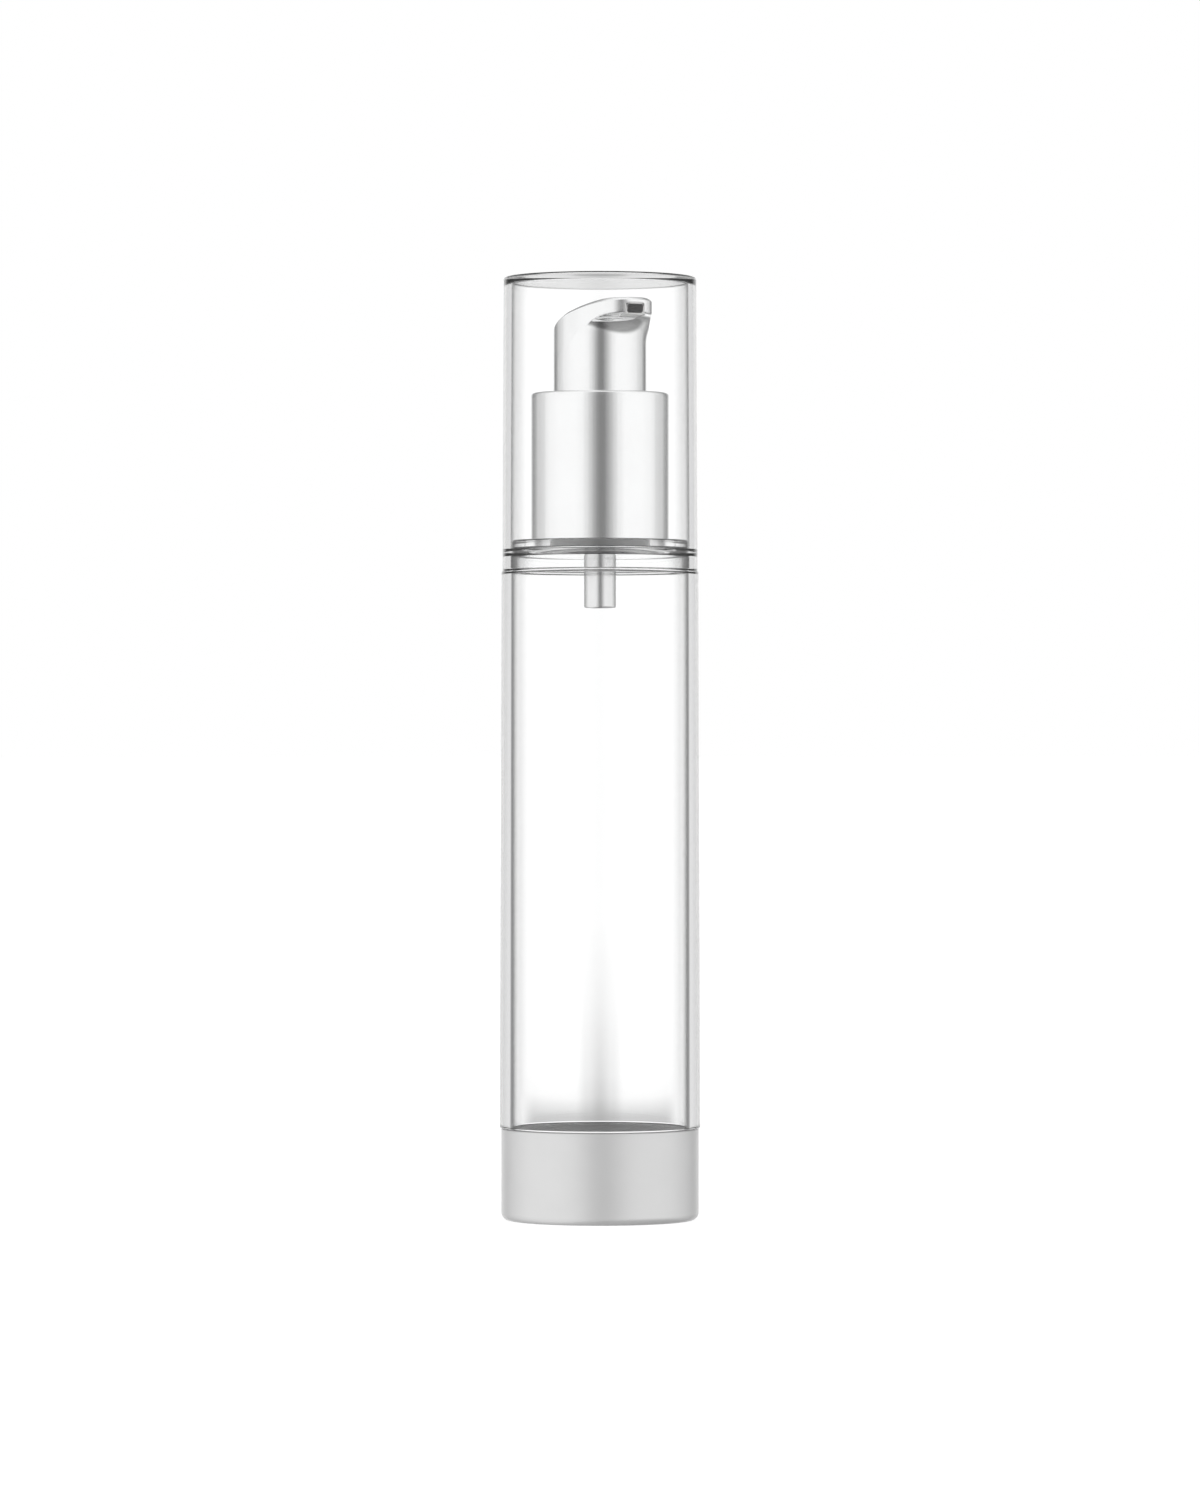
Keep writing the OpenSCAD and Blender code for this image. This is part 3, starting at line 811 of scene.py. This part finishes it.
ring = [e for e in bm.edges if e.is_boundary]
started = bm.verts.layers.float_vector.new("start")
for v in {v for e in ring for v in e.verts}:
    v[started] = v.co / MM
ring = [e for e in bm.edges if e.is_boundary]
ring = next_ring(bm, ring, lambda p, start: p - Vector((0, 0, UNDER_CROWN)))
for raise_by in OVER_LIP:
    ring = next_ring(bm, ring, above_lip(raise_by))
for k in range(ROLL_STEPS + 1):
    ring = next_ring(bm, ring, rolled(k / ROLL_STEPS))
for k in range(SCOOP_STEPS):
    ring = next_ring(bm, ring, down_scoop(1 / (SCOOP_STEPS - k)))
for radius, z in SKIRT:
    ring = next_ring(bm, ring, at_radius(radius, z))
bmesh.ops.contextual_create(bm, geom=ring)
head = piece("plated_head", bm)
print("head has", len(head.data.polygons), "faces")

# %% [markdown]
# ## The outlet
# The product leaves through a slot in the white inner moulding, which shows as a thin
# rim in the spout's end and comes out a little under the rolled lip. The slot lies along a
# channel that rises a little towards the tip, and the leaning end face trims the moulding,
# so plain blocks with rounded edges are cut with Booleans.

# %% Blocks along the channel
SLOPE = math.atan(0.12)
RIM = 0.3
CHIN_ROOM = 8


def loose(name, bm):
    """An object for one Boolean or for joining."""
    bmesh.ops.recalc_face_normals(bm, faces=bm.faces)
    mesh = bpy.data.meshes.new(name)
    bm.to_mesh(mesh)
    bm.free()
    made = bpy.data.objects.new(name, mesh)
    bpy.context.scene.collection.objects.link(made)
    return made


def channel_block(width, height, start, end, rounding):
    """A block with rounded long edges along the outlet's channel, ends at these reaches."""
    bm = bmesh.new()
    bmesh.ops.create_cube(bm, size=1)
    bmesh.ops.scale(bm, vec=((end - start) * MM, width * MM, height * MM), verts=bm.verts)
    bmesh.ops.translate(bm, vec=((start + end) / 2 * MM - REACH * MM, 0, 0), verts=bm.verts)
    long_edges = [e for e in bm.edges if abs(e.verts[0].co.x - e.verts[1].co.x) > MM]
    bmesh.ops.bevel(
        bm, geom=long_edges, offset=rounding * MM, offset_type="OFFSET", segments=5,
        profile=0.5, affect="EDGES", material=-1,
    )
    place = Matrix.Translation((REACH * MM, 0, OUTLET_Z * MM)) @ Matrix.Rotation(-SLOPE, 4, "Y")
    bmesh.ops.transform(bm, matrix=place, verts=bm.verts)
    return loose("block", bm)


def chin_block():
    """The room in front of the leaning end face."""
    bm = bmesh.new()
    bmesh.ops.create_cube(bm, size=CHIN_ROOM * MM)
    middle = (CHIN_ROOM / 2 * MM, 0, (1 - CHIN_ROOM / 2) * MM)
    bmesh.ops.translate(bm, vec=middle, verts=bm.verts)
    corner = Vector((REACH, 0, CHIN_Z)) * MM
    place = Matrix.Translation(corner) @ Matrix.Rotation(CHIN, 4, "Y")
    bmesh.ops.transform(bm, matrix=place, verts=bm.verts)
    return loose("chin", bm)


def carve(target, tool, operation):
    """Applies one Boolean to a piece and throws the tool away."""
    step = target.modifiers.new("carve", "BOOLEAN")
    step.operation = operation
    step.solver = "EXACT"
    step.object = tool
    graph = bpy.context.evaluated_depsgraph_get()
    shaped = bpy.data.meshes.new_from_object(target.evaluated_get(graph))
    target.modifiers.clear()
    target.data = shaped
    bpy.data.objects.remove(tool)
    return target


print("channel rises", round(math.degrees(SLOPE), 1), "degrees")

# %% Open the outlet
FIT = 0.04
OUTER_ROUND = 0.45
MOUTH_START = 4
OVERRUN = 2
PLAN_FOOT_Z = 140
PLAN_H = 20


def plan_block():
    """Everything inside the plan of head and spout."""
    bm = bmesh.new()
    sole = plan_face(bm, PLAN_FOOT_Z)
    raised = bmesh.ops.extrude_face_region(bm, geom=[sole])["geom"]
    tops = [v for v in raised if isinstance(v, bmesh.types.BMVert)]
    bmesh.ops.translate(bm, vec=(0, 0, PLAN_H * MM), verts=tops)
    return loose("plan", bm)


wide, high = OUTLET_W + 2 * RIM, OUTLET_H + 2 * RIM
mouth_block = channel_block(wide + FIT, high + FIT, MOUTH_START, REACH + OVERRUN, OUTER_ROUND)
carve(head, mouth_block, "DIFFERENCE")
print("opened head has", len(head.data.polygons), "faces")

# %% [markdown]
# ## The white inner moulding
# A turned tube with a disc takes the stem and the spring. Its outlet arm is a rounded block
# along the channel, cut to the plan and to the leaning end face, with the slot cut into it
# and a block under it that reaches down into the tube.

# %% White inner moulding
INNER_ROUND = 0.42
ARM_START = 3.2
SLOT_START = 5
RISER_SIZE = (3.2, 3.2, 3.6)
RISER_AT = (2.7, 0, 148.7)

insert = piece(
    "white_insert",
    lathe(
        section(
            [
                (1.92, 136.6, 0.2), (3, 136.6, 0.2), (3, SPRING_TOP_Z),
                (7.1, SPRING_TOP_Z, 0.2), (7.1, 142.1, 0.2), (3, 142.1), (3, 147.5),
                (0, 147.5), (0, 145), (1.92, 145),
            ]
        )
    ),
)
nozzle = channel_block(wide, high, ARM_START, REACH + OVERRUN, OUTER_ROUND)
carve(nozzle, plan_block(), "INTERSECT")
carve(nozzle, chin_block(), "DIFFERENCE")
slot_block = channel_block(OUTLET_W, OUTLET_H, SLOT_START, REACH + OVERRUN + 1, INNER_ROUND)
carve(nozzle, slot_block, "DIFFERENCE")
bm = bmesh.new()
bmesh.ops.create_cube(bm, size=MM)
bmesh.ops.scale(bm, vec=RISER_SIZE, verts=bm.verts)
bmesh.ops.translate(bm, vec=Vector(RISER_AT) * MM, verts=bm.verts)
carve(nozzle, loose("riser", bm), "UNION")
print("nozzle has", len(nozzle.data.polygons), "faces")

# %% Turn both to the front
def joined(target, *others):
    """One mesh from several, all in the row's frame."""
    bm = bmesh.new()
    for source in (target, *others):
        bm.from_mesh(source.data)
    for source in others:
        bpy.data.objects.remove(source)
    mesh = target.data
    bm.to_mesh(mesh)
    bm.free()
    return target


joined(insert, nozzle)
for made, node, slot in (
    (head, "actuator_shell", "silver_plated"),
    (insert, "actuator_insert", "white_pp"),
):
    made.data.transform(Matrix.Rotation(FRONT_TURN, 4, "Z"))
    for face in made.data.polygons:
        face.use_smooth = True
    made.data.set_sharp_from_angle(angle=SHARP)
    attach(made, "head")
    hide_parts(node)
ahead = Matrix.Rotation(FRONT_TURN, 3, "Z") @ Vector((1, 0, 0))
print("spout points to", [round(x, 3) for x in ahead])

# %% [markdown]
# ## Finishes
# Every finish starts from one Principled shader. What is the same all over goes straight
# on its sockets. What changes over the surface comes from noise in the piece's own
# coordinates, at the scale of the real marks, except the painted shade at the clear walls'
# edges and in the outlet's slot.

# %% Finish helper
def finish(name, **sockets):
    """A material with one Principled shader; sockets are named with underscores."""
    made = bpy.data.materials.new(name)
    made.use_nodes = True
    recipe = Recipe(made.node_tree)
    named = {key.replace("_", " "): value for key, value in sockets.items()}
    shader = recipe.add("ShaderNodeBsdfPrincipled", sockets=named)
    recipe.output("ShaderNodeOutputMaterial", shader)
    return made, recipe, shader


def feed(shader, socket, wire):
    wire.recipe.tree.links.new(wire.socket, shader.socket.node.inputs[socket])


def place_on(recipe, scale=(1, 1, 1)):
    """The piece's own coordinates, stretched."""
    own = recipe.add("ShaderNodeTexCoord", out=3)
    return recipe.add("ShaderNodeMapping", sockets={"Vector": own, "Scale": scale})


def noise(recipe, scale, stretch=(1, 1, 1), detail=2.0):
    return recipe.add(
        "ShaderNodeTexNoise",
        sockets={"Vector": place_on(recipe, stretch), "Scale": scale, "Detail": detail},
    )


def bump(recipe, height, depth):
    """A Bump node; depth is in metres."""
    return recipe.add(
        "ShaderNodeBump", sockets={"Height": height, "Distance": depth, "Strength": 1.0}
    )


def shade(recipe, factor, dark, light):
    """A colour between two, by a factor."""
    return recipe.add(
        "ShaderNodeMix", {"data_type": "RGBA"}, {0: factor, 6: dark, 7: light}, out=2
    )


def grey(level, tint=(1, 1, 1)):
    return (level * tint[0], level * tint[1], level * tint[2], 1)


def dress(made, *pieces):
    for one in pieces:
        one.data.materials.clear()
        one.data.materials.append(made)


print("finish helpers are ready")

# %% [markdown]
# ## Clear plastic
# The wall has to bend and reflect light as a solid does, so it is the Principled shader
# with full transmission and the plastic's own index. A mould leaves faint flow lines along
# the wall, a few micrometres deep, and handling leaves hair-fine scratches. Where light
# inside the wall meets a surface at a flat angle, a Layer Weight finds it and the base
# colour turns dark, far more than the clear plastic takes up: this is painted shade, for
# the dark bands at the wall's edges.

# %% Clear finishes
EDGE_SHADE_BY_FACING = [
    (0.4, 0.0), (0.46, 0.05), (0.51, 0.1), (0.55, 0.14), (0.6, 0.2), (0.65, 0.24), (0.72, 0.36),
    (0.81, 0.74), (0.9, 0.93), (1, 0.96),
]


def clear(name, index, wave):
    made, recipe, shader = finish(name, Transmission_Weight=1.0, IOR=index)
    facing = recipe.add("ShaderNodeLayerWeight", sockets={"Blend": 0.5}, out=1)
    path = recipe.add("ShaderNodeLightPath").socket.node.outputs
    inside = Wire(recipe, path["Transmission Depth"]) > 1.5
    # Painted shade: the base colour turns dark where light inside the wall meets a surface at a
    # flat angle
    painted_edge_shade = inside * recipe.ramp(facing, EDGE_SHADE_BY_FACING)
    feed(shader, "Base Color", shade(recipe, painted_edge_shade, (0.996, 0.997, 0.997, 1), grey(0)))
    flow = noise(recipe, 90, (1, 1, 0.12), 1.0)
    feed(shader, "Normal", bump(recipe, flow, wave * MM))
    scratches = recipe.ramp(noise(recipe, 900, (1, 1, 0.06), 1.0), [(0.62, 0.0), (0.8, 0.03)])
    feed(shader, "Roughness", scratches)
    return made


clear_bottle_finish = clear("clear_copolyester", 1.5, 0.002)
clear_cap_finish = clear("clear_styrene", 1.5, 0.002)
dress(clear_bottle_finish, bottle)
dress(clear_cap_finish, overcap)
print("clear finishes made")

# %% [markdown]
# ## Bright metal
# The collar is anodised aluminium and the head is plated plastic. Both are near mirrors,
# so their colour comes from the room. Fine draw lines round the collar and a breath of
# unevenness in the gloss keep them from looking like a perfect mirror.

# %% Bright finishes
def bright(name, level, rough, lines):
    made, recipe, shader = finish(name, Metallic=1.0)
    cloud = noise(recipe, 160, detail=3.0)
    light = grey(level + 0.02, (0.995, 1, 1))
    feed(shader, "Base Color", shade(recipe, cloud, grey(level - 0.02), light))
    drawn = noise(recipe, 700, (0.05, 0.05, 1) if lines else (1, 1, 1), 2.0)
    feed(shader, "Roughness", rough + drawn * 0.04)
    feed(shader, "Normal", bump(recipe, drawn, 0.0004 * MM))
    return made


collar_finish = bright("anodised_silver", 0.94, 0.03, True)
head_finish = bright("plated_silver", 0.94, 0.025, False)
dress(collar_finish, collar)
dress(head_finish, head)
print("bright finishes made")

# %% [markdown]
# ## Lacquer, soft plastic and steel
# The base cap has a satin lacquer with a fine grain. The inner mouldings are plain
# polypropylene and polyethylene, with the mould's faint mottling, and the valve balls
# and the spring are steel.

# %% Plain finishes
def plain(name, dark, light, rough, grain, depth, **sockets):
    made, recipe, shader = finish(name, **sockets)
    mottle = noise(recipe, 220, detail=4.0)
    feed(shader, "Base Color", shade(recipe, mottle, dark, light))
    fine = noise(recipe, grain, detail=3.0)
    feed(shader, "Roughness", rough + fine * 0.12)
    feed(shader, "Normal", bump(recipe, fine, depth * MM))
    return made


IVORY = (1, 1, 0.99)
satin_finish = plain("satin_lacquer", grey(0.64), grey(0.68), 0.28, 3200, 0.003, Metallic=0.42)
white_finish = plain(
    "white_polypropylene", grey(0.84), grey(0.88, IVORY), 0.28, 1500, 0.002
)
milky_finish = plain(
    "milky_polypropylene", grey(0.88), grey(0.92), 0.05, 1500, 0.001, Metallic=0.85
)
# The follower's dark grey is partly its own colour and partly painted shade: it is darker than the
# piston itself, to stand in for the shade it sits in at the foot of the chamber
follower_grey_and_shade = plain("soft_polyethylene", grey(0.26), grey(0.31), 0.42, 1200, 0.004)
seal_finish = plain("seal_polyethylene", grey(0.8), grey(0.86), 0.4, 1200, 0.003)
steel_finish = plain("bright_steel", grey(0.62), grey(0.7), 0.12, 1800, 0.0008, Metallic=1.0)
dress(satin_finish, base_cap)
dress(white_finish, fixing_ring)
dress(milky_finish, housing)
dress(follower_grey_and_shade, follower)
dress(seal_finish, neck_plug)
dress(white_finish, nodes["inlet_cage"], nodes["stem_guide"], nodes["pump_stem"])
dress(seal_finish, nodes["pump_piston"])
dress(steel_finish, nodes["inlet_ball"], nodes["outlet_ball"], spring)
print("plain finishes made")

# %% [markdown]
# ## The outlet's dark slot
# The white arm is narrow and its slot is deep, so hardly any light comes back out. The
# finish turns dark behind the leaning end face, but only within the slot's own width and
# height, so that the arm's outside stays white.

# %% Inner moulding's finish
SLOT_DARK = [(0.01, 0), (0.05, 1)]
SLOT_DEPTH = 4

insert_finish, recipe, shader = finish("white_polypropylene_insert", Roughness=0.3)
own = recipe.add("ShaderNodeTexCoord", out=3)
mouth = Vector((0, -REACH, CHIN_Z)) * MM
inward = Vector((0, math.cos(CHIN), math.sin(CHIN)))
centre = Vector((0, -REACH, OUTLET_Z)) * MM
lift = Vector((0, math.sin(SLOPE), math.cos(SLOPE)))


def within(axis, half):
    """1 where a point is nearer to the channel's middle than half, in mm."""
    far = recipe.dot(own, axis) - centre.dot(axis)
    return far.maths("ABSOLUTE", far) < half * MM


depth = recipe.dot(own, inward) - mouth.dot(inward)
in_width = within(Vector((1, 0, 0)), (OUTLET_W + RIM) / 2)
in_height = within(lift, (OUTLET_H + RIM) / 2)
dark = recipe.ramp(depth / (SLOT_DEPTH * MM), SLOT_DARK) * in_width * in_height
feed(shader, "Base Color", shade(recipe, dark, grey(0.87, IVORY), grey(0.05)))
feed(shader, "Normal", bump(recipe, noise(recipe, 1500, detail=3.0), 0.002 * MM))
dress(insert_finish, insert)
print("materials:", sorted(m.name for m in bpy.data.materials if m.users))
